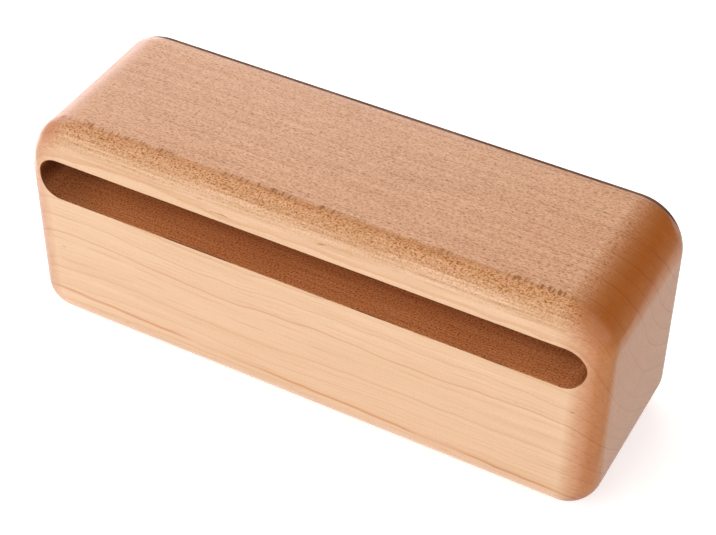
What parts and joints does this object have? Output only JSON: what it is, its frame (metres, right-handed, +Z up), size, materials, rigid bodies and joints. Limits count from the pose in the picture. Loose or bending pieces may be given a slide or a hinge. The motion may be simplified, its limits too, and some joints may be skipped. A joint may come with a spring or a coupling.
{
  "type": "woodblock",
  "caption": "Rounded maple woodblock glued up from face-to-face boards, with a long round-ended slot in its front that opens into a deep sound chamber. Struck with a mallet on its top.",
  "frame": {"origin": "on the surface that the block stands on, under the middle of its box", "axes": "+X along the block's length, the slot opens towards -Y, +Z up"},
  "size_m": [0.18, 0.0616, 0.0705],
  "materials": {
    "maple": "satin clear lacquer outside, bare routed wood inside the slot"
  },
  "bodies": {
    "root": {"front_board": "maple", "core_board": "maple", "back_board": "maple"}
  },
  "joints": []
}
